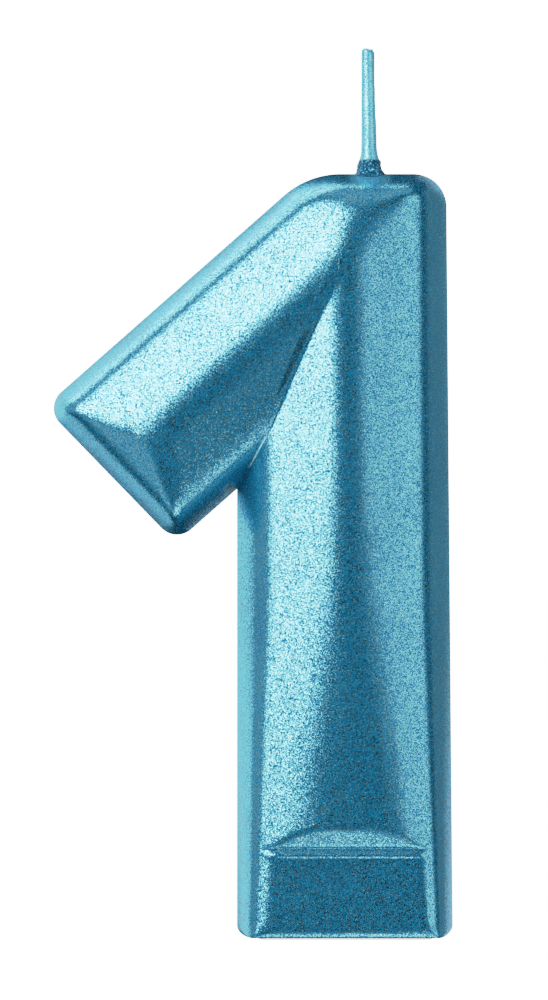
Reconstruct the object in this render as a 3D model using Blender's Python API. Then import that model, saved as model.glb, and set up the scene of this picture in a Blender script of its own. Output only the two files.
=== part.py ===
"""Number birthday candle: a cast wax figure one with a metallic over-dip and a plaited wick.

Metres, +Z up. The origin is the centre of the foot's flat underside. The front faces -Y and
the flag of the figure points to -X. The back half of the casting mirrors the front half
about the parting plane, Y = 0.

The casting is worked out from its outer surface. Every wall and slope of it is a plane, so
the inside of the metallic coat, and the wax inside that, are the same planes moved inwards.
"""

import math

import bmesh
import bpy
from mathutils import Matrix, Vector

MM = 0.001

# The figure, seen from the front
BODY_HEIGHT = 70.9 * MM
STEM_FOOT_WIDTH = 20.1 * MM
STEM_TOP_WIDTH = 19.5 * MM
FLAG_ANGLE = math.radians(41.4)
FLAG_WIDTH = 17.6 * MM
FLAG_LENGTH = 32.8 * MM
FLAG_END_SKEW = math.radians(2.7)
FLAG_ROOT_X = -3.4 * MM

# Corners of the outline, in plan
TOP_CORNER = 3.1 * MM
FLAG_ROOT_CORNER = 8.0 * MM
FLAG_TIP_CORNER = 2.0 * MM
FLAG_HEEL_CORNER = 2.0 * MM
FOOT_CORNER = 1.0 * MM
CORNER_STEP = math.radians(16)

# The crowned section, from the parting plane up
SHOULDER_HEIGHT = 5.2 * MM
CREST_HEIGHT = 7.15 * MM
CREST_FOOT_HEIGHT = 6.25 * MM
CREST_LEVEL_Z = 50.0 * MM
SIDE_RUN = 2.6 * MM
FLAG_OVER_RUN = 2.1 * MM
FLAG_UNDER_RUN = 2.2 * MM
TOP_RUN = 2.1 * MM
FLAG_END_RUN = 1.9 * MM
FLANK_FACETS = 4
SIDE_SLOPE = math.radians(16.5)
FLAG_OVER_SLOPE = math.radians(19.0)
FLAG_UNDER_SLOPE = math.radians(16.0)
HIP_SLOPE = math.radians(28.0)

# The thinner tongue at the foot, which a candle holder grips
TONGUE_HALF_DEPTH = 5.45 * MM
TONGUE_HEIGHT = 8.4 * MM
CROWN_END_RUN = 1.5 * MM
TONGUE_BEAD_Z = 7.85 * MM
TONGUE_BEAD_PROUD = 0.15 * MM
TONGUE_BEAD_HALF_WIDTH = 0.3 * MM
FOOT_EDGE_RISE = 1.3 * MM
FOOT_EDGE_HALF_DEPTH = 4.6 * MM

# The metallic over-dip on the wax
COAT_THICKNESS = 0.3 * MM
COAT_GAP = 0.3 * MM
COAT_RIM_Z = 0.2 * MM

# The wick: three plaited plies in a wax sheath, and the bead of wax at its foot
WICK_X = 2.3 * MM
WICK_STUB = 11.7 * MM
WICK_FOOT_RADIUS = 0.78 * MM
WICK_TIP_RADIUS = 0.56 * MM
WICK_TIP_ROUNDING = 0.3 * MM
WICK_END_Z = 0.5 * MM
PLY_COUNT = 3
PLY_RADIUS = 0.085 * MM
PLAIT_HALF_WIDTH = 0.2 * MM
PLAIT_HALF_DEPTH = 0.15 * MM
PLAIT_PITCH = 4.1 * MM
PLAIT_STEPS = 8
SHEATH_WALL = 0.1 * MM
SHEATH_CLEARANCE = 0.04 * MM
SHEATH_REVEAL = 0.1 * MM
WICK_COAT_CLEARANCE = 0.03 * MM
BORE_CLEARANCE = 0.15 * MM
COLLAR_FOOT_WALL = 0.56 * MM
COLLAR_TOP_WALL = 0.16 * MM
COLLAR_HEIGHT = 1.2 * MM
COLLAR_CLEARANCE = 0.06 * MM
COLLAR_GAP = 0.1 * MM
ROUND_SIDES = 24

# Larger than the candle in every direction
BEYOND = 4 * BODY_HEIGHT
CUT_TOLERANCE = 0.0005 * MM
MERGE = 0.004 * MM
FLAT_ANGLE = math.radians(0.05)

DIRECTION_LEFT = math.pi
DIRECTION_FOOT = 1.5 * math.pi
DIRECTION_RIGHT = math.atan2(STEM_FOOT_WIDTH - STEM_TOP_WIDTH, BODY_HEIGHT) + 2 * math.pi
DIRECTION_TOP = 2.5 * math.pi
DIRECTION_FLAG_OVER = DIRECTION_TOP + FLAG_ANGLE
DIRECTION_FLAG_END = math.pi + FLAG_ANGLE + FLAG_END_SKEW
DIRECTION_FLAG_UNDER = DIRECTION_FOOT + FLAG_ANGLE


def in_plan(direction):
    """The unit vector in the XZ plane that points at this angle from +X towards +Z."""
    return Vector((math.cos(direction), 0, math.sin(direction)))


def flank_profile(run, slope):
    """The crowned section over one edge of the outline: (inset, height) from the parting line.

    The flank rises in a parabola that meets the straight slope at the shoulder.
    """
    rise = math.tan(slope)
    swell = SHOULDER_HEIGHT - run * rise
    shares = [facet / FLANK_FACETS for facet in range(FLANK_FACETS + 1)]
    flank = [(share * run, swell * (1 - (1 - share) ** 2) + rise * share * run) for share in shares]
    return [*flank, (run + FLAG_WIDTH, SHOULDER_HEIGHT + FLAG_WIDTH * rise)]


def foot_profile():
    """The section over the foot's edge: square to the base, then rounded into the tongue's face."""
    depth = FOOT_EDGE_HALF_DEPTH
    corner = TONGUE_HALF_DEPTH - depth
    return [
        (0, 0),
        (0, 0.5 * depth),
        (0, depth),
        (0.27 * FOOT_EDGE_RISE, depth + 0.55 * corner),
        (FOOT_EDGE_RISE, TONGUE_HALF_DEPTH),
        (FOOT_EDGE_RISE + FLAG_WIDTH, TONGUE_HALF_DEPTH + FLAG_WIDTH * math.tan(SIDE_SLOPE)),
    ]


def edge_through(direction, point, profile):
    """An edge of the outline: its outward direction, its distance from the origin and its section."""
    return {
        "direction": direction,
        "support": in_plan(direction).dot(point),
        "profile": profile,
    }


def corner_between(first, second, radius):
    """Edges that round the corner from one edge to the next with tangents to a circle."""
    a, b = in_plan(first["direction"]), in_plan(second["direction"])
    rows = Matrix(((a.x, a.z), (b.x, b.z)))
    centre = rows.inverted() @ Vector((first["support"] - radius, second["support"] - radius))
    turn = second["direction"] - first["direction"]
    count = max(1, round(abs(turn) / CORNER_STEP) - 1)
    fan = []
    for step in range(1, count + 1):
        share = step / (count + 1)
        direction = first["direction"] + share * turn
        blended = [
            (p[0] + share * (q[0] - p[0]), p[1] + share * (q[1] - p[1]))
            for p, q in zip(first["profile"], second["profile"])
        ]
        middle = Vector((centre.x, 0, centre.y))
        fan.append({
            "direction": direction,
            "support": in_plan(direction).dot(middle) + radius,
            "profile": blended,
        })
    return fan


def outline_edges(sunk):
    """The outline's edges in three convex groups, with the foot's edge sunk this far.

    The casting is the hull, kept where the stem or the flag also is: the stem stops at its
    left edge, and the flag at its end and its underside.
    """
    foot_corner = FOOT_CORNER + sunk
    half_foot = STEM_FOOT_WIDTH / 2
    flag_root = Vector((FLAG_ROOT_X, 0, BODY_HEIGHT))
    flag_tip = flag_root - FLAG_LENGTH * in_plan(FLAG_ANGLE)
    flag_under = flag_root - FLAG_WIDTH * in_plan(DIRECTION_FLAG_OVER)
    side = flank_profile(SIDE_RUN, SIDE_SLOPE)

    left = edge_through(DIRECTION_LEFT, Vector((-half_foot, 0, 0)), side)
    foot = edge_through(DIRECTION_FOOT, Vector((0, 0, -sunk)), foot_profile())
    right = edge_through(DIRECTION_RIGHT, Vector((half_foot, 0, 0)), side)
    top = edge_through(DIRECTION_TOP, flag_root, flank_profile(TOP_RUN, HIP_SLOPE))
    over = edge_through(
        DIRECTION_FLAG_OVER, flag_root, flank_profile(FLAG_OVER_RUN, FLAG_OVER_SLOPE)
    )
    end = edge_through(DIRECTION_FLAG_END, flag_tip, flank_profile(FLAG_END_RUN, HIP_SLOPE))
    under = edge_through(
        DIRECTION_FLAG_UNDER, flag_under, flank_profile(FLAG_UNDER_RUN, FLAG_UNDER_SLOPE)
    )
    over_before_end = dict(over, direction=DIRECTION_FLAG_OVER - 2 * math.pi)

    hull = [foot, *corner_between(foot, right, foot_corner), right]
    hull += [*corner_between(right, top, TOP_CORNER), top]
    hull += [*corner_between(top, over, FLAG_ROOT_CORNER), over]
    stem = [left, *corner_between(left, foot, foot_corner)]
    flag = [*corner_between(over_before_end, end, FLAG_TIP_CORNER), end]
    flag += [*corner_between(end, under, FLAG_HEEL_CORNER), under]
    return hull, stem, flag


def wall_planes(edges, inwards):
    """(point, outward normal) of each facet over these edges, front and back, moved inwards."""
    planes = []
    for edge in edges:
        out = in_plan(edge["direction"])
        for side in (-1, 1):
            for (inset, height), (next_inset, next_height) in zip(
                edge["profile"], edge["profile"][1:]
            ):
                across = Vector((0, side * (next_inset - inset), 0))
                normal = (out * (next_height - height) + across).normalized()
                point = out * (edge["support"] - inset) + Vector((0, side * height, 0))
                planes.append((point - normal * inwards, normal))
    return planes


def crest_planes(inwards):
    """The flat of the crown: level over the flag, then falling away towards the foot."""
    fall = math.atan2(CREST_HEIGHT - CREST_FOOT_HEIGHT, CREST_LEVEL_Z - TONGUE_HEIGHT)
    planes = []
    for side in (-1, 1):
        point = Vector((0, side * CREST_HEIGHT, CREST_LEVEL_Z))
        level = Vector((0, side, 0))
        falling = Vector((0, side * math.cos(fall), -math.sin(fall)))
        planes += [(point - normal * inwards, normal) for normal in (level, falling)]
    return planes


def remove_all_objects():
    for obj in list(bpy.data.objects):
        bpy.data.objects.remove(obj, do_unlink=True)


def add_object(name, mesh):
    obj = bpy.data.objects.new(name, mesh)
    bpy.context.scene.collection.objects.link(obj)
    return obj


def as_helper(obj):
    """Marks an object as a cutter or guide, which isn't a part of the candle."""
    obj.hide_render = True
    obj.display_type = "WIRE"
    return obj


def carved_block(name, planes, size):
    """A helper: a block cut by every plane in turn, then rebuilt round the corners it has left."""
    bm = bmesh.new()
    bmesh.ops.create_cube(bm, size=size)
    for point, normal in planes:
        geometry = [*bm.verts, *bm.edges, *bm.faces]
        cut = bmesh.ops.bisect_plane(
            bm, geom=geometry, dist=CUT_TOLERANCE, plane_co=point, plane_no=normal,
            clear_outer=True,
        )
        rim = [part for part in cut["geom_cut"] if isinstance(part, bmesh.types.BMEdge)]
        if len(rim) > 2:
            bmesh.ops.edgeloop_fill(bm, edges=rim)
    bmesh.ops.remove_doubles(bm, verts=bm.verts, dist=MERGE)
    bmesh.ops.delete(bm, geom=list(bm.edges), context="EDGES_FACES")
    hull = bmesh.ops.convex_hull(bm, input=list(bm.verts))
    spare = {*hull["geom_interior"], *hull["geom_unused"]}
    corners = [part for part in spare if isinstance(part, bmesh.types.BMVert)]
    bmesh.ops.delete(bm, geom=corners, context="VERTS")
    bmesh.ops.dissolve_limit(bm, angle_limit=FLAT_ANGLE, verts=bm.verts, edges=bm.edges)
    bmesh.ops.recalc_face_normals(bm, faces=bm.faces)
    mesh = bpy.data.meshes.new(name)
    bm.to_mesh(mesh)
    bm.free()
    return as_helper(add_object(name, mesh))


def add_boolean(obj, other, operation):
    """Adds a cut or a join. The coat's thin wall needs the manifold solver, on closed blocks."""
    modifier = obj.modifiers.new(f"{operation.lower()}_{other.name}", "BOOLEAN")
    modifier.operation = operation
    modifier.solver = "MANIFOLD"
    modifier.object = other


def extruded_bar(name, outline, length):
    """A helper: a closed (Y, Z) outline extruded both ways along X."""
    bm = bmesh.new()
    corners = [bm.verts.new((-length / 2, y, z)) for y, z in outline]
    face = bm.faces.new(corners)
    extruded = bmesh.ops.extrude_face_region(bm, geom=[face])
    moved = [part for part in extruded["geom"] if isinstance(part, bmesh.types.BMVert)]
    bmesh.ops.translate(bm, verts=moved, vec=(length, 0, 0))
    bmesh.ops.recalc_face_normals(bm, faces=bm.faces)
    mesh = bpy.data.meshes.new(name)
    bm.to_mesh(mesh)
    bm.free()
    return as_helper(add_object(name, mesh))


def tongue_recess(name, side, inwards, with_bead):
    """A helper: what is cut from one face of the stem to leave the thinner tongue.

    Its section is the tongue's flat face, a small bead with a groove over it, and the slope
    up to the crown's end.
    """
    face = TONGUE_HALF_DEPTH - inwards
    crown = CREST_FOOT_HEIGHT - TONGUE_HALF_DEPTH
    end_slope = math.atan2(crown, CROWN_END_RUN)
    groove_z = TONGUE_HEIGHT + inwards * math.tan(end_slope / 2)
    beyond = BEYOND / 4
    outline = [(face, -beyond)]
    if with_bead:
        proud, half = TONGUE_BEAD_PROUD, TONGUE_BEAD_HALF_WIDTH
        outline += [
            (face, TONGUE_BEAD_Z - half),
            (face + proud, TONGUE_BEAD_Z - half / 3),
            (face + proud, TONGUE_BEAD_Z + half / 3),
            (face - proud, (TONGUE_BEAD_Z + half + groove_z) / 2),
        ]
    outline += [
        (face, groove_z),
        (face + beyond, groove_z + beyond / math.tan(end_slope)),
        (face + 2 * beyond, -beyond),
    ]
    return extruded_bar(name, [(side * y, z) for y, z in outline], BEYOND / 2)


def casting(name, inwards, base_z, sunk=0, with_bead=False):
    """The whole figure as a helper, its surface moved inwards and its base at base_z."""
    hull, stem, flag = outline_edges(sunk)
    foot_rounding = [plane for plane in wall_planes(hull[:1], inwards) if plane[1].y != 0]
    base = (Vector((0, 0, base_z)), Vector((0, 0, -1)))
    planes = [base, *foot_rounding, *wall_planes(hull[1:], inwards), *crest_planes(inwards)]
    body = carved_block(name, planes, BEYOND)
    stem_block = carved_block(f"{name}_stem", wall_planes(stem, inwards), 0.9 * BEYOND)
    flag_block = carved_block(f"{name}_flag", wall_planes(flag, inwards), 0.8 * BEYOND)
    add_boolean(stem_block, flag_block, "UNION")
    add_boolean(body, stem_block, "INTERSECT")
    for label, side in (("front", -1), ("back", 1)):
        recess = tongue_recess(f"{name}_{label}_recess", side, inwards, with_bead)
        add_boolean(body, recess, "DIFFERENCE")
    return body


def turned_shape(name, profile):
    """A helper turned about the wick's axis from a closed (radius, Z) profile."""
    bm = bmesh.new()
    corners = [bm.verts.new((radius, 0, z)) for radius, z in profile]
    on_axis = [radius == 0 for radius, z in profile]
    rim = [
        bm.edges.new((corners[end - 1], corners[end]))
        for end in range(len(corners))
        if not (on_axis[end - 1] and on_axis[end])
    ]
    bmesh.ops.spin(
        bm, geom=corners + rim, cent=(0, 0, 0), axis=(0, 0, 1), angle=2 * math.pi,
        steps=ROUND_SIDES, use_merge=True,
    )
    bmesh.ops.remove_doubles(bm, verts=bm.verts, dist=MERGE)
    bmesh.ops.dissolve_degenerate(bm, edges=bm.edges, dist=MERGE)
    bmesh.ops.recalc_face_normals(bm, faces=bm.faces)
    mesh = bpy.data.meshes.new(name)
    bm.to_mesh(mesh)
    bm.free()
    obj = as_helper(add_object(name, mesh))
    obj.location.x = WICK_X
    return obj


def finished(obj, material, smooth_angle):
    """Makes a helper into a piece of the candle."""
    obj.hide_render = False
    obj.display_type = "TEXTURED"
    obj.data.shade_smooth()
    obj.data.set_sharp_from_angle(angle=math.radians(smooth_angle))
    obj.data.materials.append(material)
    return obj


def principled(name, colour, metallic, roughness):
    material = bpy.data.materials.new(name)
    material.use_nodes = True
    shader = material.node_tree.nodes["Principled BSDF"]
    shader.inputs["Base Color"].default_value = (*colour, 1)
    shader.inputs["Metallic"].default_value = metallic
    shader.inputs["Roughness"].default_value = roughness
    return material


def sheath_radii():
    """The wax sheath's inner and outer radius, around the plait."""
    inner = PLAIT_HALF_WIDTH + PLY_RADIUS + SHEATH_CLEARANCE
    return inner, inner + SHEATH_WALL


def wick_bore(name):
    """A helper: the bore that the sheathed wick passes through."""
    radius = sheath_radii()[1] + BORE_CLEARANCE
    below, above = -BODY_HEIGHT, 2 * BODY_HEIGHT
    return turned_shape(name, [(0, below), (radius, below), (radius, above), (0, above)])


def make_wax_body():
    """The casting under the coat. Its foot stands flat, as deep as the coat's own foot."""
    inwards = COAT_THICKNESS + COAT_GAP
    body = casting("wax_body", inwards, 0, sunk=inwards)
    add_boolean(body, wick_bore("wax_body_bore"), "DIFFERENCE")
    return finished(body, principled("white_wax", (0.86, 0.88, 0.84), 0, 0.45), 30)


def make_metallic_coat():
    """The over-dip: a skin that covers the wax all round and is open at the base."""
    coat = casting("metallic_coat", 0, COAT_RIM_Z, with_bead=True)
    sunk = COAT_THICKNESS + COAT_GAP
    inside = casting("metallic_coat_inside", COAT_THICKNESS, -BODY_HEIGHT / 10, sunk=sunk)
    add_boolean(coat, inside, "DIFFERENCE")
    add_boolean(coat, wick_bore("metallic_coat_bore"), "DIFFERENCE")
    return finished(coat, principled("blue_metallic", (0.1, 0.42, 0.56), 0.9, 0.32), 30)


def make_wick_plies():
    """Three plies that each run a flat figure of eight, a third of a turn apart."""
    cotton = principled("cotton", (0.85, 0.82, 0.74), 0, 0.9)
    top = BODY_HEIGHT + WICK_STUB - WICK_TIP_ROUNDING - 2 * SHEATH_REVEAL
    count = math.ceil((top - WICK_END_Z) / PLAIT_PITCH * PLAIT_STEPS)
    plies = []
    for number in range(PLY_COUNT):
        name = f"wick_ply_{number + 1}"
        curve = bpy.data.curves.new(name, "CURVE")
        curve.dimensions = "3D"
        curve.bevel_depth = PLY_RADIUS
        curve.bevel_resolution = 1
        curve.use_fill_caps = True
        spline = curve.splines.new("POLY")
        spline.points.add(count)
        for step, point in enumerate(spline.points):
            z = WICK_END_Z + (top - WICK_END_Z) * step / count
            turn = 2 * math.pi * (z / PLAIT_PITCH + number / PLY_COUNT)
            x = PLAIT_HALF_WIDTH * math.sin(turn)
            y = PLAIT_HALF_DEPTH * math.sin(2 * turn)
            point.co = (x, y, z, 1)
        curve.materials.append(cotton)
        ply = add_object(name, curve)
        ply.location.x = WICK_X
        plies.append(ply)
    return plies


def make_wick_sheath():
    """The wax that the wick is primed with, a tube along its whole length."""
    inner, outer = sheath_radii()
    top = BODY_HEIGHT + WICK_STUB - WICK_TIP_ROUNDING - SHEATH_REVEAL
    profile = [(inner, WICK_END_Z), (outer, WICK_END_Z), (outer, top), (inner, top)]
    wax = principled("wick_wax", (0.84, 0.84, 0.8), 0, 0.5)
    return finished(turned_shape("wick_sheath", profile), wax, 40)


def make_wick_coat():
    """The over-dip on the wick's stub: a tapered cap, open at the bottom."""
    inner = sheath_radii()[1] + WICK_COAT_CLEARANCE
    foot = BODY_HEIGHT + COLLAR_GAP
    tip = BODY_HEIGHT + WICK_STUB
    shoulder = tip - WICK_TIP_ROUNDING
    ceiling = shoulder - SHEATH_REVEAL / 2
    profile = [
        (inner, foot),
        (WICK_FOOT_RADIUS, foot),
        (WICK_TIP_RADIUS, shoulder),
        (0.86 * WICK_TIP_RADIUS, tip - 0.4 * WICK_TIP_ROUNDING),
        (0.5 * WICK_TIP_RADIUS, tip),
        (0, tip),
        (0, ceiling),
        (inner, ceiling),
    ]
    paint = principled("wick_blue_metallic", (0.08, 0.36, 0.5), 0.85, 0.4)
    return finished(turned_shape("wick_coat", profile), paint, 40)


def make_wick_collar():
    """The bead of coated wax that gathers where the wick leaves the figure."""
    inner = WICK_FOOT_RADIUS + COLLAR_CLEARANCE
    foot = BODY_HEIGHT + COLLAR_GAP
    top = foot + COLLAR_HEIGHT
    profile = [
        (inner, foot),
        (inner + COLLAR_FOOT_WALL, foot),
        (inner + 0.75 * COLLAR_FOOT_WALL, foot + 0.3 * COLLAR_HEIGHT),
        (inner + COLLAR_TOP_WALL, top - 0.2 * COLLAR_HEIGHT),
        (inner + 0.55 * COLLAR_TOP_WALL, top),
        (inner, top),
    ]
    bead = principled("collar_blue", (0.05, 0.28, 0.4), 0.7, 0.5)
    return finished(turned_shape("wick_collar", profile), bead, 40)


def main():
    remove_all_objects()
    make_wax_body()
    make_metallic_coat()
    make_wick_plies()
    make_wick_sheath()
    make_wick_coat()
    make_wick_collar()


main()
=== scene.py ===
"""The looks of the number birthday candle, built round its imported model.

Metres, +Z up, the front towards -Y and the figure's flag towards -X, as in the model.
"""

import math

import bmesh
import bpy
import numpy as np
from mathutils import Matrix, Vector


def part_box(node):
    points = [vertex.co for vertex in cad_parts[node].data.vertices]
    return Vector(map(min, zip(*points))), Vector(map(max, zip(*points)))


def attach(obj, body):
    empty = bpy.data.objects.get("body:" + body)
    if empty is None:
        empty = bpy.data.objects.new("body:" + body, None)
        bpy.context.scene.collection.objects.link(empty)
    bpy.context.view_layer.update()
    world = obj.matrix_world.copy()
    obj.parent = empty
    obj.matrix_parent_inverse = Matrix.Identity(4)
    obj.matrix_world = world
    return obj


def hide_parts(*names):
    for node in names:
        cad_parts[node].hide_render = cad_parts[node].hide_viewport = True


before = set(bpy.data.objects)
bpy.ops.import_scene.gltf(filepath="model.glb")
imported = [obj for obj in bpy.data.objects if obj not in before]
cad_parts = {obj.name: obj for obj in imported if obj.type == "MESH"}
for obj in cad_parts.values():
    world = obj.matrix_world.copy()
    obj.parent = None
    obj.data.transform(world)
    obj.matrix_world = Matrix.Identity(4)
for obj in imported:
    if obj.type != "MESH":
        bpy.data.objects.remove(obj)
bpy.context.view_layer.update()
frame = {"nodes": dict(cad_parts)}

MM = 0.001

# Where the model's pieces are
coat_low, coat_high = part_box("metallic_coat")
wick_low, wick_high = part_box("wick_coat")
collar_low, collar_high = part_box("wick_collar")
sheath_low, sheath_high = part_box("wick_sheath")
wick_middle_x = (wick_low.x + wick_high.x) / 2

# The figure's outline, in plan: its edges' places and angles, and its corners' radii
BODY_HEIGHT = coat_high.z
STEM_HALF_WIDTH = coat_high.x
STEM_TAPER = 0.6 * MM
FLAG_ANGLE = math.radians(41.4)
FLAG_WIDTH = 17.6 * MM
FLAG_LENGTH = 32.8 * MM
FLAG_END_SKEW = math.radians(2.7)
FLAG_ROOT_X = -3.4 * MM
TOP_CORNER = 3.1 * MM
FLAG_ROOT_CORNER = 8.0 * MM
FLAG_TIP_CORNER = 2.0 * MM
FLAG_HEEL_CORNER = 2.0 * MM
FOOT_CORNER = 1.0 * MM
FOOT_RUN = 0.05 * MM

# The crowned section
SHOULDER_HEIGHT = 5.2 * MM
CREST_HEIGHT = coat_high.y
CREST_FALL = 1.06 * MM
CREST_LEVEL_Z = 50.0 * MM
SIDE_RUN = 3.3 * MM
FLAG_OVER_RUN = 2.4 * MM
FLAG_UNDER_RUN = 2.2 * MM
TOP_RUN = 2.1 * MM
FLAG_END_RUN = 1.9 * MM
RUN_FALL = 0.5
RUN_LEVEL_Z = 32 * MM
SIDE_RISE = math.tan(math.radians(16.5))
FLAG_OVER_RISE = math.tan(math.radians(19.0))
FLAG_UNDER_RISE = math.tan(math.radians(16.0))
HIP_RISE = math.tan(math.radians(28.0))
RIDGE_SOFTNESS = 2.8 * MM
SOFTNESS_FALL = 0.2

# The thinner tongue at the foot
TONGUE_HALF_DEPTH = 5.45 * MM
TONGUE_HEIGHT = 8.4 * MM
CROWN_END_RUN = 1.5 * MM
TONGUE_BEAD_Z = 7.85 * MM
TONGUE_BEAD_PROUD = 0.15 * MM
TONGUE_BEAD_HALF_WIDTH = 0.3 * MM
FOOT_EDGE_RISE = 1.3 * MM
FOOT_EDGE_HALF_DEPTH = 4.6 * MM

COAT_THICKNESS = 0.3 * MM

DIRECTION_RIGHT = math.atan2(STEM_TAPER, BODY_HEIGHT)
DIRECTION_TOP = math.pi / 2
DIRECTION_FLAG_OVER = DIRECTION_TOP + FLAG_ANGLE
DIRECTION_LEFT = math.pi
DIRECTION_FLAG_END = math.pi + FLAG_ANGLE + FLAG_END_SKEW
DIRECTION_FOOT = 1.5 * math.pi
DIRECTION_FLAG_UNDER = DIRECTION_FOOT + FLAG_ANGLE

# How finely the coat's surface is drawn
CORNER_EDGES = 20
RAY_STEPS = 36
RAY_CROWDING = 1.7
STATION_COUNTS = (110, 130, 40, 110, 90, 44)
DISC_SPOKES = 8
DISC_RINGS = (0.4, 0.75, 1)
DISC_LIMIT = 0.45
INNER_STRIDE = 6
MERGE = 0.003 * MM
FOOT_BLEND = 0.15 * MM
ARMPIT_APPROACH = 1.2 * MM

# The wick's dipped skin and the bead at its foot
ROUND_SIDES = 64
WICK_RINGS = 60
TIP_RINGS = 8
WICK_TIP_RADIUS = 0.56 * MM
WICK_TIP_ROUNDING = 0.32 * MM
WICK_TIP_SOLID = 0.35 * MM
WICK_BORE_CLEARANCE = 0.03 * MM
WICK_DRIFT = 0.9
WICK_TAPER_POWER = 0.9
WICK_RIPPLES = ((0.048, 21, 0), (0.036, 47, 1))
FLARE = 0.22 * MM
FLARE_RUN = 0.4 * MM
FLARE_RINGS = 8
FLARE_SHARE = 0.1
LIP_STEP = 0.0001
TIP_NOTCH = 0.2 * MM
TIP_NOTCH_DEPTH = 0.1 * MM
COLLAR_BORE = 0.84 * MM
COLLAR_LIP_RADIUS = 1.0 * MM
COLLAR_LIP_Z = 72.15 * MM
COLLAR_SAG = 0.7
COLLAR_CROWDING = 1.3
COLLAR_CLEARANCE = 0.01 * MM
COLLAR_RINGS = 24
BORE_RINGS = 4
LUMP_CLIMB = 0.5 * MM
LUMP_SHARE = 0.028
LUMP_WAVES = ((1, 3, 1.7, 0), (1, 5, -2.3, 1), (0.8, 8, 3.1, 2), (0.6, 13, -4, 0))

# The flakes in the lacquer, its unevenness, the pale line down the crease and the painted shade in the
# armpit
FLAKE_SIZE = 0.06 * MM
FLAKE_COVER = 0.47
FLAKE_TILT = 0.17
WICK_FLAKE_SIZE = 0.055 * MM
COLLAR_FLAKE_SIZE = 0.13 * MM
CLOUD_SIZE = 6 * MM
STREAK_SIZE = 1.1 * MM
PEEL_DEPTH = 0.006 * MM
CREASE_X = -8.2 * MM
CREASE_Z = 44.8 * MM
CREASE_ALONG = (-0.491, -0.871)
ARMPIT_X = -10.6 * MM
ARMPIT_Z = 41.5 * MM

# The studio
SENSOR_HEIGHT = 24
CAMERA_DISTANCE = 450 * MM
CAMERA_NEAR = 5 * MM
CAMERA_FAR = 20
VIEW_HEIGHT = 93.1 * MM
CAMERA_X = -6.6 * MM
CAMERA_Z = 40.55 * MM
PANEL_DISTANCE = 500 * MM
SURROUND = 1.0
WHITE_POINT = 3.0
TONES = ((0.3, 0.3), (0.55, 0.54), (0.8, 0.655), (1.05, 0.755), (1.45, 0.84), (1.9, 0.895))
FLOOR_SIDES = 48
FLOOR_RADIUS = 1.5

# The light panels: how far round from the front and how high, in degrees, the width in degrees
# as the candle sees it, the brightness, and the height as a multiple of the width
SOFTBOXES = (
    ("key", -41, 22, 43, 4.1, 1.3),
    ("fill_right", 47, 9, 44, 1.0, 1.5),
    ("low_left", -48, -37, 32, 0.5, 1.0),
    ("low_right", 30, -50, 36, 1.2, 1.0),
    ("low_front", 0, -68, 24, 1.4, 1.0),
    ("rim_left", -141, 12, 40, 1.3, 1.4),
    ("rim_low_left", -139, -32, 36, 0.8, 1.0),
    ("rim_high_left", -140, 54, 40, 2.2, 1.0),
    ("rim_right", 160, 5, 26, 1.0, 2.0),
    ("side_right", 122, 5, 44, 0.22, 1.6),
    ("side_left", -94, 18, 46, 0.3, 1.5),
    ("over", 15, 78, 40, 0.45, 1.0),
)


def plan_unit(angle):
    """The unit vectors (x, z) at these angles from +X towards +Z."""
    return np.stack([np.cos(angle), np.sin(angle)], axis=-1)


def edge(angle, point, run, rise):
    """One edge: its outward angle, its distance from the origin, its flank's run and its slope."""
    return np.array([angle, plan_unit(angle) @ np.array(point), run, rise])


def corner(first, second, radius):
    """The edges that round a corner: tangents to a circle that touches both its edges."""
    rows = np.stack([plan_unit(first[0]), plan_unit(second[0])])
    centre = np.linalg.solve(rows, np.array([first[1], second[1]]) - radius)
    share = np.linspace(0, 1, CORNER_EDGES + 2)[1:-1, None]
    fan = first + share * (second - first)
    fan[:, 1] = plan_unit(fan[:, 0]) @ centre + radius
    return fan


def outline_edges():
    """The edges from the foot's right corner round to its left corner: hull, flag and stem.

    The figure is the hull, kept where the stem or the flag also is.
    """
    root = np.array([FLAG_ROOT_X, BODY_HEIGHT])
    tip = root - FLAG_LENGTH * plan_unit(FLAG_ANGLE)
    heel_side = root - FLAG_WIDTH * plan_unit(DIRECTION_FLAG_OVER)
    foot_right = edge(DIRECTION_FOOT - 2 * math.pi, (0, 0), FOOT_RUN, SIDE_RISE)
    foot_left = edge(DIRECTION_FOOT, (0, 0), FOOT_RUN, SIDE_RISE)
    right = edge(DIRECTION_RIGHT, (STEM_HALF_WIDTH, 0), SIDE_RUN, SIDE_RISE)
    top = edge(DIRECTION_TOP, root, TOP_RUN, HIP_RISE)
    over = edge(DIRECTION_FLAG_OVER, root, FLAG_OVER_RUN, FLAG_OVER_RISE)
    end = edge(DIRECTION_FLAG_END, tip, FLAG_END_RUN, HIP_RISE)
    under = edge(DIRECTION_FLAG_UNDER, heel_side, FLAG_UNDER_RUN, FLAG_UNDER_RISE)
    left = edge(DIRECTION_LEFT, (-STEM_HALF_WIDTH, 0), SIDE_RUN, SIDE_RISE)
    hull = np.vstack([
        corner(foot_right, right, FOOT_CORNER), right, corner(right, top, TOP_CORNER), top,
        corner(top, over, FLAG_ROOT_CORNER), over,
    ])
    flag = np.vstack([
        corner(over, end, FLAG_TIP_CORNER), end, corner(end, under, FLAG_HEEL_CORNER), under,
    ])
    stem = np.vstack([left, corner(left, foot_left, FOOT_CORNER)])
    return foot_right, hull, flag, stem, foot_left


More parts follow.
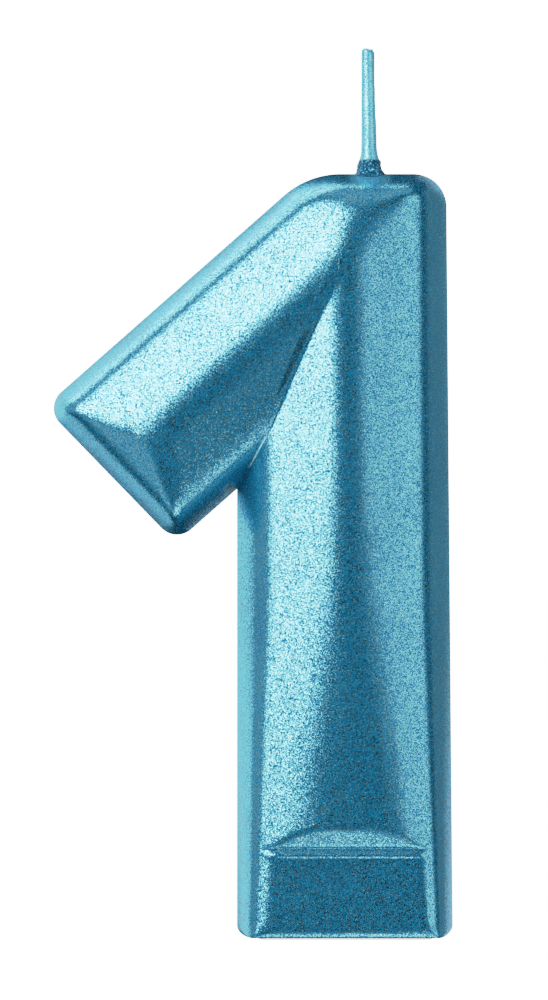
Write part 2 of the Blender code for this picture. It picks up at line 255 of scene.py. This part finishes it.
def crossings(edges):
    """The points where each edge's line crosses the next one's."""
    a, b = plan_unit(edges[:-1, 0]), plan_unit(edges[1:, 0])
    area = a[:, 0] * b[:, 1] - a[:, 1] * b[:, 0]
    x = (edges[:-1, 1] * b[:, 1] - edges[1:, 1] * a[:, 1]) / area
    z = (a[:, 0] * edges[1:, 1] - b[:, 0] * edges[:-1, 1]) / area
    return np.stack([x, z], axis=-1)


def lengths_along(path):
    """How far along the path each of its points is."""
    return np.concatenate([[0], np.cumsum(np.linalg.norm(np.diff(path, axis=0), axis=1))])


def points_at(path, lengths):
    """The points at these lengths along a path of straight stretches."""
    marks = lengths_along(path)
    return np.stack([np.interp(lengths, marks, path[:, k]) for k in (0, 1)], axis=-1)


def insets(edges, points):
    """How far each point lies inside each edge: one row for each edge."""
    return edges[:, 1, None] - plan_unit(edges[:, 0]) @ points.T


def crowned(edges, points, inwards):
    """Height over the lowest edge: a parabola up to the shoulder plus the straight slope.

    The shoulder draws in towards the outline as the stem comes down to the foot.
    """
    inset = np.maximum(insets(edges, points) - inwards, 0)
    narrowing = 1 - RUN_FALL * np.clip(1 - points[:, 1] / RUN_LEVEL_Z, 0, 1)
    run, rise = edges[:, 2, None] * narrowing, edges[:, 3, None]
    parabola = 1 - (1 - np.clip(inset / run, 0, 1)) ** 2
    return ((SHOULDER_HEIGHT - inwards - run * rise) * parabola + rise * inset).min(axis=0)


def bar_height(edges, points, inwards):
    """A hipped bar's height: the lowest of what its edges allow and the crest, which falls."""
    fall = CREST_FALL * np.clip(1 - points[:, 1] / CREST_LEVEL_Z, 0, 1)
    return np.minimum(crowned(edges, points, inwards), CREST_HEIGHT - inwards - fall)


def softened(edges, points, inwards):
    """The bar's height averaged over a small disc, which rounds its ridges and hips.

    The disc shrinks up the stem, where the casting has kept its ridges sharper.
    """
    clear = np.maximum(insets(edges, points).min(axis=0) - inwards, 0)
    sharper = 1 - SOFTNESS_FALL * np.clip(points[:, 1] / CREST_LEVEL_Z, 0, 1)
    reach = np.minimum(RIDGE_SOFTNESS * sharper, DISC_LIMIT * clear)
    total = bar_height(edges, points, inwards)
    turns = 2 * math.pi * np.arange(DISC_SPOKES) / DISC_SPOKES
    spokes = [(share, turn) for share in DISC_RINGS for turn in turns]
    for share, turn in spokes:
        step = share * reach[:, None] * plan_unit(turn + share)
        total = total + bar_height(edges, points + step, inwards)
    return total / (1 + len(spokes))


def bell(value, middle, half_width):
    """A bell curve: one in the middle, and almost nothing two half widths away."""
    return np.exp(-2 * ((value - middle) / half_width) ** 2)


def foot_limit(z, inwards):
    """The tongue's section: rounded up from the base, flat, a bead, a groove, then the slope.

    A quarter of an ellipse rounds the base, and bell curves give the bead and the groove.
    Past the slope there is no limit.
    """
    share = np.clip(z / FOOT_EDGE_RISE, 0, 1)
    corner_depth = TONGUE_HALF_DEPTH - FOOT_EDGE_HALF_DEPTH
    face = FOOT_EDGE_HALF_DEPTH + corner_depth * np.sqrt(1 - (1 - share) ** 2)
    bead = bell(z, TONGUE_BEAD_Z, TONGUE_BEAD_HALF_WIDTH)
    groove = bell(z, TONGUE_HEIGHT, TONGUE_BEAD_HALF_WIDTH)
    crown = CREST_HEIGHT - CREST_FALL - TONGUE_HALF_DEPTH
    slope = crown / CROWN_END_RUN * np.maximum(z - TONGUE_HEIGHT, 0)
    beyond = np.where(z > TONGUE_HEIGHT + 3 * CROWN_END_RUN, 1.0, 0.0)
    return face + TONGUE_BEAD_PROUD * (bead - groove) + slope + beyond - inwards


def coat_height(points, inwards):
    """The casting's height: the taller of the stem and the flag, held down by the foot's limit.

    Where the two heights cross, a parabola rounds the fold between them.
    """
    _, hull, flag, stem, _ = outline_edges()
    stem_height = softened(np.vstack([hull, stem]), points, inwards)
    flag_height = softened(np.vstack([hull, flag]), points, inwards)
    tall = np.maximum(stem_height, flag_height)
    limit = foot_limit(points[:, 1], inwards)
    blend = np.clip(0.5 + (limit - tall) / (2 * FOOT_BLEND), 0, 1)
    return limit + (tall - limit) * blend - FOOT_BLEND * blend * (1 - blend)


def spread(keys, counts):
    """Values that run evenly from each key to the next, in so many steps each."""
    runs = [np.linspace(a, b, n, endpoint=False) for a, b, n in zip(keys, keys[1:], counts)]
    return np.concatenate([*runs, keys[-1:]])


def level_at(path, z):
    """The length along a path at which it first climbs past this height."""
    marks = lengths_along(path)
    first = int(np.argmax(path[:, 1] > z))
    share = (z - path[first - 1, 1]) / (path[first, 1] - path[first - 1, 1])
    return marks[first - 1] + share * (marks[first] - marks[first - 1])


def stations(rim_z):
    """Where each cross-section runs: its left end, its crest point and its right end.

    The crest points climb the stem's middle, bend at the top and run down the flag's crest.
    The right ends go up the right edge, over the top and down the flag's upper edge, and the
    left ends go up the left edge, past the armpit and out under the flag. All three slow down
    or stop together where a corner fans out.
    """
    foot_right, hull, flag, stem, foot_left = outline_edges()
    ring = crossings(np.vstack([foot_right, hull, flag, stem, foot_left]))
    marks = lengths_along(ring)
    end_mark = marks[[len(hull) + CORNER_EDGES, len(hull) + CORNER_EDGES + 1]].mean()
    right_way = np.vstack([ring[marks < end_mark], points_at(ring, [end_mark])])
    left_way = np.vstack([ring[marks > end_mark][::-1], points_at(ring, [end_mark])])
    armpit = lengths_along(left_way)[CORNER_EDGES + 1]
    heel = lengths_along(left_way)[CORNER_EDGES + 2]
    right_marks = lengths_along(right_way)
    top_right, top_right_end = right_marks[[CORNER_EDGES + 1, 2 * CORNER_EDGES + 1]]
    top_left, top_left_end = right_marks[[2 * CORNER_EDGES + 2, 3 * CORNER_EDGES + 2]]
    tip = right_marks[3 * CORNER_EDGES + 3]

    rise_run = (CREST_HEIGHT - SHOULDER_HEIGHT) / SIDE_RISE
    hip_run = (CREST_HEIGHT - SHOULDER_HEIGHT) / HIP_RISE
    apex = np.array([
        STEM_HALF_WIDTH - STEM_TAPER - SIDE_RUN - rise_run,
        BODY_HEIGHT - TOP_RUN - hip_run,
    ])
    root = np.array([FLAG_ROOT_X, BODY_HEIGHT])
    spare = (FLAG_WIDTH - FLAG_OVER_RUN - FLAG_UNDER_RUN) * FLAG_UNDER_RISE
    crest_drop = FLAG_OVER_RUN + spare / (FLAG_OVER_RISE + FLAG_UNDER_RISE)
    flag_end = root - crest_drop * plan_unit(DIRECTION_FLAG_OVER)
    flag_end = flag_end - (FLAG_LENGTH - FLAG_END_RUN - hip_run) * plan_unit(FLAG_ANGLE)
    spine = np.array([[0, rim_z], [0, CREST_LEVEL_Z], apex, flag_end])
    spine_marks = lengths_along(spine)

    crease_angle = (math.pi / 2 + FLAG_ANGLE) / 2
    rows = np.stack([plan_unit(crease_angle), apex - flag_end], axis=-1)
    reach = np.linalg.solve(rows, apex - points_at(left_way, [armpit])[0])[1]
    crease_top = spine_marks[2] + reach * np.linalg.norm(apex - flag_end)

    slope_top = TONGUE_HEIGHT + 2 * CROWN_END_RUN
    crest = spread([
        0, slope_top - rim_z, spine_marks[2], spine_marks[2], crease_top, spine_marks[3], spine_marks[3],
    ], STATION_COUNTS)
    right = spread([
        level_at(right_way, rim_z), level_at(right_way, slope_top), top_right, top_right_end,
        (top_left + top_left_end) / 2, tip, right_marks[-1],
    ], STATION_COUNTS)
    left = spread([
        level_at(left_way, rim_z), level_at(left_way, slope_top), armpit - ARMPIT_APPROACH,
        armpit - ARMPIT_APPROACH / 2, armpit, heel, lengths_along(left_way)[-1],
    ], STATION_COUNTS)
    return points_at(left_way, left), points_at(spine, crest), points_at(right_way, right)


def coat_grid(rim_z, inwards, stride):
    """The casting's surface as closed cross-sections, one for each station.

    Each runs in straight lines in plan from the left end to the crest point and on to the
    right end, at the casting's height in front, and back again at the same height behind.
    Points crowd towards the outline, where the flank is steep.
    """
    left, crest, right = (np.vstack([way[:-1:stride], way[-1:]]) for way in stations(rim_z))
    share = ((np.arange(RAY_STEPS) / RAY_STEPS) ** RAY_CROWDING)[None, :, None]
    left_rays = left[:, None] + share * (crest - left)[:, None]
    right_rays = right[:, None] + share * (crest - right)[:, None]
    front = np.concatenate([left_rays, crest[:, None], right_rays[:, ::-1]], axis=1)
    centre = crest[:, None]
    towards = centre - front
    distance = np.linalg.norm(towards, axis=2, keepdims=True)
    front = front + towards / np.maximum(distance, MERGE) * np.minimum(inwards, distance)
    height = coat_height(front.reshape(-1, 2), inwards).reshape(front.shape[:2])
    height[:, [0, -1]] = 0
    half = np.stack([front[..., 0], -height, front[..., 1]], axis=-1)
    back = half[:, 1:-1][:, ::-1] * [1, -1, 1]
    return np.concatenate([half, back], axis=1)


def grid_faces(rows, columns, first=0, flip=False):
    """Quads over a grid whose rows close on themselves."""
    index = first + np.arange(rows * columns).reshape(rows, columns)
    after = np.roll(index, -1, axis=1)
    quads = np.stack([index[:-1], after[:-1], after[1:], index[1:]], axis=-1).reshape(-1, 4)
    return quads[:, ::-1] if flip else quads


def add_piece(name, points, faces, node):
    """A smooth mesh that stands for a node of the model, with its close points merged."""
    mesh = bpy.data.meshes.new(name)
    mesh.from_pydata(points.reshape(-1, 3).tolist(), [], faces.tolist())
    mesh.validate()
    piece = bpy.data.objects.new(name, mesh)
    bpy.context.scene.collection.objects.link(piece)
    close = bmesh.new()
    close.from_mesh(mesh)
    bmesh.ops.remove_doubles(close, verts=close.verts, dist=MERGE)
    bmesh.ops.dissolve_degenerate(close, edges=close.edges, dist=MERGE)
    bmesh.ops.recalc_face_normals(close, faces=close.faces)
    close.to_mesh(mesh)
    close.free()
    mesh.shade_smooth()
    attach(piece, "root")
    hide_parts(node)
    return piece


def make_coat():
    """The metallic over-dip: an outer surface, a coarser inner one, and the rim that joins them."""
    outer = coat_grid(coat_low.z, 0, 1)
    inner = coat_grid(coat_low.z, COAT_THICKNESS, INNER_STRIDE)
    columns = outer.shape[1]
    points = np.concatenate([outer.reshape(-1, 3), inner.reshape(-1, 3)])
    first_inner = outer.shape[0] * columns
    faces = np.vstack([
        grid_faces(outer.shape[0], columns),
        grid_faces(inner.shape[0], columns, first_inner, flip=True),
        rim_faces(columns, first_inner),
    ])
    return add_piece("blue_metallic_coat", points, faces, "metallic_coat")


def rim_faces(columns, first_inner):
    """Quads from the first cross-section of the outer surface to that of the inner one."""
    outer = np.arange(columns)
    inner = first_inner + outer
    return np.stack([np.roll(outer, -1), outer, inner, np.roll(inner, -1)], axis=-1)


def turned(radius, height, middle, lumps=0.0):
    """A surface turned about the wick's axis: rings of this radius, height and middle, in X.

    A ring's radius swells and shrinks by a sum of sines, each with its own strength, number of
    waves round the turn, waves up the climb and start.
    """
    turn = 2 * math.pi * np.arange(ROUND_SIDES) / ROUND_SIDES
    climb = (height / LUMP_CLIMB)[:, None]
    swell = sum(
        strength * np.sin(waves * turn + rise * climb + start)
        for strength, waves, rise, start in LUMP_WAVES
    )
    ring = radius[:, None] * (1 + lumps * swell)
    x = middle[:, None] + ring * np.cos(turn)
    y = ring * np.sin(turn)
    z = np.broadcast_to(height[:, None], ring.shape)
    return np.stack([x, y, z], axis=-1)


def make_wick_coat():
    """The dipped skin of the wick: a cap that tapers on its right side and has a worn tip.

    Its section runs from the ceiling's middle down the bore, out at the foot, up the outside
    and round a quarter turn at the tip, back to the axis. The outside steps out over the
    collar's lip in a flare that dies away exponentially, and small sines ripple it.
    """
    foot_radius = (wick_high.y - wick_low.y) / 2
    bore = (sheath_high.y - sheath_low.y) / 2 + WICK_BORE_CLEARANCE
    ceiling = wick_high.z - WICK_TIP_SOLID
    side_top = wick_high.z - WICK_TIP_ROUNDING
    lip = (COLLAR_LIP_Z + COLLAR_CLEARANCE - wick_low.z) / (side_top - wick_low.z)
    climb = np.concatenate([
        np.linspace(0, 1, WICK_RINGS), [lip - LIP_STEP], lip + np.linspace(0, FLARE_SHARE, FLARE_RINGS),
    ])
    climb.sort()
    side_z = wick_low.z + (side_top - wick_low.z) * climb
    ripple = sum(strength * np.sin(waves * climb + start) for strength, waves, start in WICK_RIPPLES)
    taper = foot_radius + (WICK_TIP_RADIUS - foot_radius) * climb ** WICK_TAPER_POWER
    side = taper * (1 + ripple * climb * (1 - climb))
    flare = FLARE * np.exp(-np.maximum(side_z - COLLAR_LIP_Z, 0) / FLARE_RUN) * (climb >= lip)
    rounded = np.linspace(0, math.pi / 2, TIP_RINGS)[1:]
    tip = WICK_TIP_RADIUS - WICK_TIP_ROUNDING * (1 - np.cos(rounded))
    tip_z = side_top + WICK_TIP_ROUNDING * np.sin(rounded)
    radius = np.concatenate([[0, bore, bore], side + flare, tip, [0.5 * tip[-1], 0]])
    height = np.concatenate([[ceiling, ceiling, wick_low.z], side_z, tip_z, [tip_z[-1]] * 2])
    above_side = [side[-1] - foot_radius] * (TIP_RINGS + 1)
    drift = np.concatenate([[0, 0, 0], side - foot_radius, above_side])
    points = turned(radius, height, wick_middle_x + WICK_DRIFT * drift)
    notch = np.exp(-((points[..., 0] - wick_middle_x) / TIP_NOTCH) ** 2)
    points[..., 2] -= TIP_NOTCH_DEPTH * notch * (points[..., 2] > side_top)
    return add_piece("dipped_wick", points, grid_faces(len(radius), ROUND_SIDES), "wick_coat")


def make_wick_collar():
    """The bead of lacquered wax at the wick's foot: a lumpy ring that thins out up the wick.

    Its section closes on itself: up the outside, which sags as a power of the climb, and down
    the bore. Its foot follows the coat's rounded top down in front and behind.
    """
    middle_x = (collar_low.x + collar_high.x) / 2
    foot_radius = (collar_high.x - collar_low.x) / 2
    foot_z = coat_high.z + COLLAR_CLEARANCE
    share = np.linspace(0, 1, COLLAR_RINGS)
    outside = foot_radius - (foot_radius - COLLAR_LIP_RADIUS) * share ** COLLAR_SAG
    outside_z = foot_z + (COLLAR_LIP_Z - foot_z) * share ** COLLAR_CROWDING
    inside = np.full(BORE_RINGS, COLLAR_BORE)
    inside_z = np.linspace(COLLAR_LIP_Z, foot_z, BORE_RINGS)
    points = np.concatenate([
        turned(outside, outside_z, np.full(COLLAR_RINGS, middle_x), LUMP_SHARE),
        turned(inside, inside_z, np.full(BORE_RINGS, middle_x)),
    ])
    drop = TOP_RUN * (1 - np.sqrt(1 - abs(points[..., 1]) / SHOULDER_HEIGHT))
    points[..., 2] -= drop * (COLLAR_LIP_Z - points[..., 2]) / (COLLAR_LIP_Z - foot_z)
    closed = np.concatenate([points, points[:1]])
    faces = grid_faces(len(closed), ROUND_SIDES)
    return add_piece("wax_collar", closed, faces, "wick_collar")


class Value:
    """A number, colour or vector that changes over a surface, with ordinary arithmetic on numbers."""

    def __init__(self, finish, socket):
        self.finish = finish
        self.socket = socket

    def other(self, output):
        """Another output of the same node."""
        return Value(self.finish, self.socket.node.outputs[output])

    def math(self, operation, *inputs):
        """A Math node on these numbers."""
        return self.finish.add("ShaderNodeMath", {"operation": operation}, dict(enumerate(inputs)))

    def __add__(self, right):
        return self.math("ADD", self, right)

    def __radd__(self, left):
        return self.math("ADD", left, self)

    def __sub__(self, right):
        return self.math("SUBTRACT", self, right)

    def __rsub__(self, left):
        return self.math("SUBTRACT", left, self)

    def __mul__(self, right):
        return self.math("MULTIPLY", self, right)

    def __rmul__(self, left):
        return self.math("MULTIPLY", left, self)

    def __truediv__(self, right):
        return self.math("DIVIDE", self, right)

    def __abs__(self):
        return self.math("ABSOLUTE", self)

    def step(self, low, high):
        """Runs smoothly from 0 at the low value to 1 at the high value."""
        settings = {"interpolation_type": "SMOOTHSTEP"}
        inputs = {"Value": self, "From Min": low, "From Max": high}
        return self.finish.add("ShaderNodeMapRange", settings, inputs)


class Finish:
    """The material of one finish. Every node of it is added by one method."""

    def __init__(self, name, **constants):
        self.material = bpy.data.materials.new(name)
        self.material.use_nodes = True
        self.tree = self.material.node_tree
        self.shader = self.tree.nodes["Principled BSDF"]
        for socket, value in constants.items():
            self.shader.inputs[socket.replace("_", " ").title().replace("Ior", "IOR")].default_value = value
        self.place = self.add("ShaderNodeTexCoord", output="Object")

    def add(self, kind, settings=None, inputs=None, output=0):
        """A node of this type, with its settings, then its sockets' values or links."""
        node = self.tree.nodes.new(kind)
        for name, value in (settings or {}).items():
            setattr(node, name, value)
        for name, value in (inputs or {}).items():
            self.set(node.inputs[name], value)
        return Value(self, node.outputs[output])

    def set(self, socket, value):
        """Links a value that changes over the surface to a socket, or sets a constant."""
        if isinstance(value, Value):
            self.tree.links.new(value.socket, socket)
        else:
            socket.default_value = value

    def noise(self, size, detail=2.0, roughness=0.5, place=None):
        """Soft random clouds of this size, from 0 to 1."""
        inputs = {
            "Vector": place or self.place, "Scale": 1 / size, "Detail": detail, "Roughness": roughness,
        }
        return self.add("ShaderNodeTexNoise", None, inputs, "Fac")

    def cells(self, size):
        """A random colour for each small cell of this size."""
        inputs = {"Vector": self.place, "Scale": 1 / size}
        return self.add("ShaderNodeTexVoronoi", None, inputs, "Color")

    def parts(self, vector):
        """The three numbers of a vector or colour."""
        x = self.add("ShaderNodeSeparateXYZ", None, {"Vector": vector}, "X")
        return x, x.other("Y"), x.other("Z")

    def stretched(self, scale):
        """The place on the piece, scaled along each axis."""
        return self.add("ShaderNodeMapping", None, {"Vector": self.place, "Scale": scale})

    def mixed(self, share, first, second):
        """A colour that goes from the first to the second."""
        inputs = {0: share, 6: first, 7: second}
        return self.add("ShaderNodeMix", {"data_type": "RGBA"}, inputs, 2)

    def vector(self, operation, inputs):
        """A Vector Math node on these vectors."""
        return self.add("ShaderNodeVectorMath", {"operation": operation}, inputs)

    def tilted(self, colour, tilt):
        """The surface's normal, leaned another way in each cell by up to this tilt."""
        centred = self.vector("SUBTRACT", {0: colour, 1: (0.5, 0.5, 0.5)})
        leaned = self.vector("SCALE", {0: centred, "Scale": tilt})
        normal = self.add("ShaderNodeNewGeometry", output="Normal")
        return self.vector("NORMALIZE", {0: self.vector("ADD", {0: normal, 1: leaned})})

    def bumped(self, height, depth, normal=None):
        """The surface's normal, or this one, with a relief of this depth on it."""
        inputs = {"Height": height, "Distance": depth, "Strength": 1.0}
        if normal:
            inputs["Normal"] = normal
        return self.add("ShaderNodeBump", None, inputs)

    def finished(self, **inputs):
        """Feeds the shader's sockets and gives the material."""
        for name, value in inputs.items():
            self.set(self.shader.inputs[name.replace("_", " ").title()], value)
        return self.material


def colour(red, green, blue):
    """An opaque colour."""
    return (red, green, blue, 1.0)


def crease_thread(finish, x, y, z):
    """A fine pale line down the crease under the flag, where the flakes shine less, on the front only."""
    along = (x - CREASE_X) * CREASE_ALONG[0] + (z - CREASE_Z) * CREASE_ALONG[1]
    across = abs((z - CREASE_Z) * CREASE_ALONG[0] - (x - CREASE_X) * CREASE_ALONG[1])
    wander = (finish.noise(0.7 * MM) - 0.5) * (0.2 * MM)
    narrow = 1 - (across + wander).step(0.02 * MM, 0.08 * MM)
    short = 1 - abs(along).step(1.4 * MM, 2.8 * MM)
    front = 1 - (y / MM).step(-3.2, -2.6)
    return narrow * short * front


def painted_armpit_shade(x, z, streak):
    """Painted shade: a dark, dull spot in the armpit, by the square of the distance from its middle."""
    spot_x = (x - ARMPIT_X) / MM
    spot_z = (z - ARMPIT_Z) / MM
    return 1 - (spot_x * spot_x + spot_z * spot_z + (streak - 0.5) * 0.8).step(0.1, 0.5)


def painted_collar_shade(x, z):
    """Painted shade round the wick's foot on top of the figure, under the collar: deep saturated blue that
    mostly hides the flakes.
    """
    beside_wick = (x - wick_middle_x) / MM
    return (1 - (beside_wick * beside_wick).step(0.3, 5.0)) * (z / MM).step(69.3, 70.6)


def coat_finish():
    """Blue lacquer full of fine silver flakes, each of which leans its own way.

    The flakes shine like a soft metal and the lacquer between them keeps its deep blue. Painted
    shade mostly hides the flakes round the wick's foot, under the collar, and darkens and dulls a
    spot in the armpit. A pale line, where the flakes shine less, runs down the crease.
    """
    finish = Finish("blue_flake_lacquer", ior=1.45, specular_tint=colour(0.3, 0.75, 1.0))
    x, y, z = finish.parts(finish.place)
    flakes = finish.cells(FLAKE_SIZE)
    pick, shade, gloss = finish.parts(flakes)
    cloud = finish.noise(CLOUD_SIZE, 3)
    streak = finish.noise(STREAK_SIZE, 2)
    cover = FLAKE_COVER + 0.25 * (cloud - 0.5) + 0.2 * (streak - 0.5)
    flake = (cover - pick).step(-0.03, 0.03)
    thread = crease_thread(finish, x, y, z) * 0.6
    # Painted shade: a dark, dull spot in the armpit
    shade_in_armpit = painted_armpit_shade(x, z, streak)
    # Painted shade round the wick's foot, under the collar
    shade_by_wick = painted_collar_shade(x, z) * 0.7

    silver = finish.mixed(shade, colour(0.2, 0.64, 0.88), colour(0.42, 0.92, 1.0))
    deep = finish.mixed(cloud.step(0.3, 0.7), colour(0.001, 0.094, 0.19), colour(0.002, 0.113, 0.22))
    skin = finish.mixed(flake, deep, silver)
    # Deep saturated blue painted under the collar as shade
    skin = finish.mixed(shade_by_wick, skin, colour(0.002, 0.14, 0.27))
    # Dark navy painted into the armpit as shade
    skin = finish.mixed(shade_in_armpit * 0.8, skin, colour(0.004, 0.04, 0.07))
    skin = finish.mixed(thread, skin, colour(0.4, 0.6, 0.66))
    # The flakes shine less where shade is painted under the collar and in the armpit, and along the pale
    # crease line
    bare = (1 - shade_by_wick) * (1 - 0.7 * shade_in_armpit) * (1 - thread)
    peel = finish.noise(0.9 * MM, 2) + 0.6 * finish.noise(0.3 * MM, 1)
    normal = finish.bumped(peel, PEEL_DEPTH, finish.tilted(flakes, FLAKE_TILT))
    return finish.finished(
        base_color=skin, metallic=flake * bare, roughness=0.16 + 0.14 * gloss, normal=normal,
    )


def wick_finish():
    """The lacquer on the wick: paler and smoother, with fine flakes drawn out along it."""
    finish = Finish("pale_blue_dip", ior=1.45, specular_tint=colour(0.5, 0.85, 1.0))
    flakes = finish.cells(WICK_FLAKE_SIZE)
    pick, shade, gloss = finish.parts(flakes)
    drawn = finish.noise(0.35 * MM, 3, place=finish.stretched((1, 1, 0.25)))
    flake = (0.6 + 0.4 * (drawn - 0.5) - pick).step(-0.1, 0.1)
    silver = finish.mixed(shade, colour(0.26, 0.68, 0.88), colour(0.46, 0.95, 1.0))
    lacquer = finish.mixed(drawn.step(0.3, 0.7), colour(0.004, 0.2, 0.38), colour(0.02, 0.3, 0.5))
    normal = finish.bumped(drawn, 0.012 * MM, finish.tilted(flakes, 0.22))
    return finish.finished(
        base_color=finish.mixed(flake, lacquer, silver), metallic=flake * 0.8,
        roughness=0.27 + 0.15 * gloss, normal=normal,
    )


def collar_finish():
    """Lacquer that has run into a rough bead: dark navy, with few and coarse bright flakes."""
    finish = Finish("pooled_navy_lacquer", ior=1.45, specular_tint=colour(0.3, 0.75, 1.0))
    flakes = finish.cells(COLLAR_FLAKE_SIZE)
    pick, shade, gloss = finish.parts(flakes)
    grain = finish.noise(0.25 * MM, 3, 0.7)
    flake = (0.2 + 0.5 * (grain - 0.5) - pick).step(-0.05, 0.05)
    silver = finish.mixed(shade, colour(0.05, 0.3, 0.5), colour(0.35, 0.75, 0.9))
    lacquer = finish.mixed(grain.step(0.3, 0.7), colour(0.001, 0.03, 0.07), colour(0.002, 0.1, 0.2))
    normal = finish.bumped(grain, 0.12 * MM, finish.tilted(flakes, 0.9))
    return finish.finished(
        base_color=finish.mixed(flake, lacquer, silver), metallic=flake * 0.9,
        roughness=0.25 + 0.3 * gloss, normal=normal,
    )


def wax_finish(name, pale, warm, cloud_size):
    """White candle wax: slightly see-through, cloudy, with a faint waxy grain and small pits."""
    finish = Finish(
        name, ior=1.44, subsurface_weight=0.35, subsurface_radius=(1.0, 0.9, 0.75),
        subsurface_scale=0.0015,
    )
    cloud = finish.noise(cloud_size, 4, 0.6)
    grain = finish.noise(cloud_size / 14, 2)
    pits = finish.noise(cloud_size / 5, 1).step(0.68, 0.74)
    skin = finish.mixed(cloud.step(0.3, 0.7), colour(*pale), colour(*warm))
    height = 0.6 * cloud + 0.25 * grain - 0.5 * pits
    return finish.finished(
        base_color=skin, roughness=0.38 + 0.18 * cloud + 0.1 * pits,
        normal=finish.bumped(height, cloud_size / 60),
    )


def cotton_finish():
    """Cotton yarn soaked in wax: fine fibres that wind along each ply, with fuzz between them."""
    finish = Finish("waxed_cotton", sheen_weight=0.25, sheen_roughness=0.6)
    settings = {"wave_type": "BANDS", "bands_direction": "DIAGONAL"}
    inputs = {"Vector": finish.place, "Scale": 1 / (0.3 * MM), "Distortion": 2.5, "Detail": 2.0}
    fibre = finish.add("ShaderNodeTexWave", settings, inputs, "Fac")
    fuzz = finish.noise(0.05 * MM, 3)
    skin = finish.mixed(fibre * 0.7 + 0.3 * fuzz, colour(0.62, 0.56, 0.45), colour(0.9, 0.87, 0.78))
    height = fibre + 0.4 * fuzz
    return finish.finished(
        base_color=skin, roughness=0.75 + 0.2 * fuzz, normal=finish.bumped(height, 0.015 * MM),
    )


def clothe(piece, material):
    """Gives a piece or a node of the model one finish."""
    piece.data.materials.clear()
    piece.data.materials.append(material)


def add_camera():
    """A level camera straight in front, far enough back to flatten the view."""
    camera = bpy.data.cameras.new("camera")
    camera.sensor_fit = "VERTICAL"
    camera.sensor_height = SENSOR_HEIGHT
    camera.lens = SENSOR_HEIGHT * CAMERA_DISTANCE / VIEW_HEIGHT
    camera.clip_start = CAMERA_NEAR
    camera.clip_end = CAMERA_FAR
    holder = bpy.data.objects.new("camera", camera)
    bpy.context.scene.collection.objects.link(holder)
    holder.location = (CAMERA_X, -CAMERA_DISTANCE, CAMERA_Z)
    holder.rotation_euler = (math.pi / 2, 0, 0)
    bpy.context.scene.camera = holder


def add_softbox(name, turn, climb, size, brightness, tall):
    """A soft light panel that faces the candle, placed and sized as the table of panels says."""
    turn, climb = math.radians(turn), math.radians(climb)
    level = math.cos(climb)
    direction = Vector((level * math.sin(turn), -level * math.cos(turn), math.sin(climb)))
    light = bpy.data.lights.new(name, "AREA")
    light.shape = "RECTANGLE"
    width = 2 * PANEL_DISTANCE * math.tan(math.radians(size) / 2)
    light.size, light.size_y = width, width * tall
    light.energy = brightness * math.pi * width * width * tall
    holder = bpy.data.objects.new(name, light)
    bpy.context.scene.collection.objects.link(holder)
    middle = Vector((CAMERA_X, 0, CAMERA_Z))
    holder.location = middle + PANEL_DISTANCE * direction
    holder.rotation_euler = (middle - holder.location).to_track_quat("-Z", "Y").to_euler()
    holder.visible_camera = False


def add_floor():
    """A plain pale floor that shows no shadow, with corners cut off so that it isn't a bare square."""
    turn = 2 * math.pi * np.arange(FLOOR_SIDES) / FLOOR_SIDES
    points = np.stack([np.cos(turn), np.sin(turn), 0 * turn], axis=-1) * FLOOR_RADIUS
    mesh = bpy.data.meshes.new("floor")
    mesh.from_pydata(points.tolist(), [], [list(range(FLOOR_SIDES))])
    floor = bpy.data.objects.new("floor", mesh)
    bpy.context.scene.collection.objects.link(floor)
    finish = Finish("pale_floor", roughness=0.9, emission_strength=WHITE_POINT)
    tone = finish.mixed(finish.noise(0.3, 2), colour(0.97, 0.97, 0.97), colour(1, 1, 1))
    mesh.materials.append(finish.finished(base_color=colour(0, 0, 0), emission_color=tone))
    floor.visible_diffuse = False
    floor.visible_glossy = False
    floor.visible_shadow = False


def add_world():
    """White all round: bright behind the candle, softer as light, and unseen in its reflections."""
    world = bpy.data.worlds.new("studio")
    bpy.context.scene.world = world
    world.use_nodes = True
    nodes = world.node_tree.nodes
    background = nodes["Background"]
    background.inputs["Color"].default_value = (1, 1, 1, 1)
    seen = nodes.new("ShaderNodeLightPath").outputs["Is Camera Ray"]
    strength = nodes.new("ShaderNodeMapRange")
    strength.inputs["To Min"].default_value = SURROUND
    strength.inputs["To Max"].default_value = WHITE_POINT
    world.node_tree.links.new(seen, strength.inputs["Value"])
    world.node_tree.links.new(strength.outputs[0], background.inputs["Strength"])
    world.cycles_visibility.glossy = False


def set_tones():
    """Shows the darker tones as they are and eases the bright ones in, up to the white point."""
    view = bpy.context.scene.view_settings
    view.view_transform = "Standard"
    view.use_curve_mapping = True
    view.curve_mapping.clip_max_x = WHITE_POINT
    curve = view.curve_mapping.curves[3]
    curve.points[1].location = (WHITE_POINT, 1)
    for tone in TONES:
        curve.points.new(*tone)
    view.curve_mapping.update()


coat = make_coat()
dipped_wick = make_wick_coat()
collar = make_wick_collar()
clothe(coat, coat_finish())
clothe(dipped_wick, wick_finish())
clothe(collar, collar_finish())

waxy = wax_finish("candle_wax", (0.86, 0.88, 0.85), (0.8, 0.82, 0.77), 4 * MM)
primed = wax_finish("wick_priming_wax", (0.84, 0.85, 0.82), (0.74, 0.73, 0.68), 0.8 * MM)
cotton = cotton_finish()
nodes = frame["nodes"]
clothe(nodes["wax_body"], waxy)
clothe(nodes["wick_sheath"], primed)
for node in ("wick_ply_1", "wick_ply_2", "wick_ply_3"):
    clothe(nodes[node], cotton)

add_floor()
add_world()
set_tones()
add_camera()
for softbox in SOFTBOXES:
    add_softbox(*softbox)
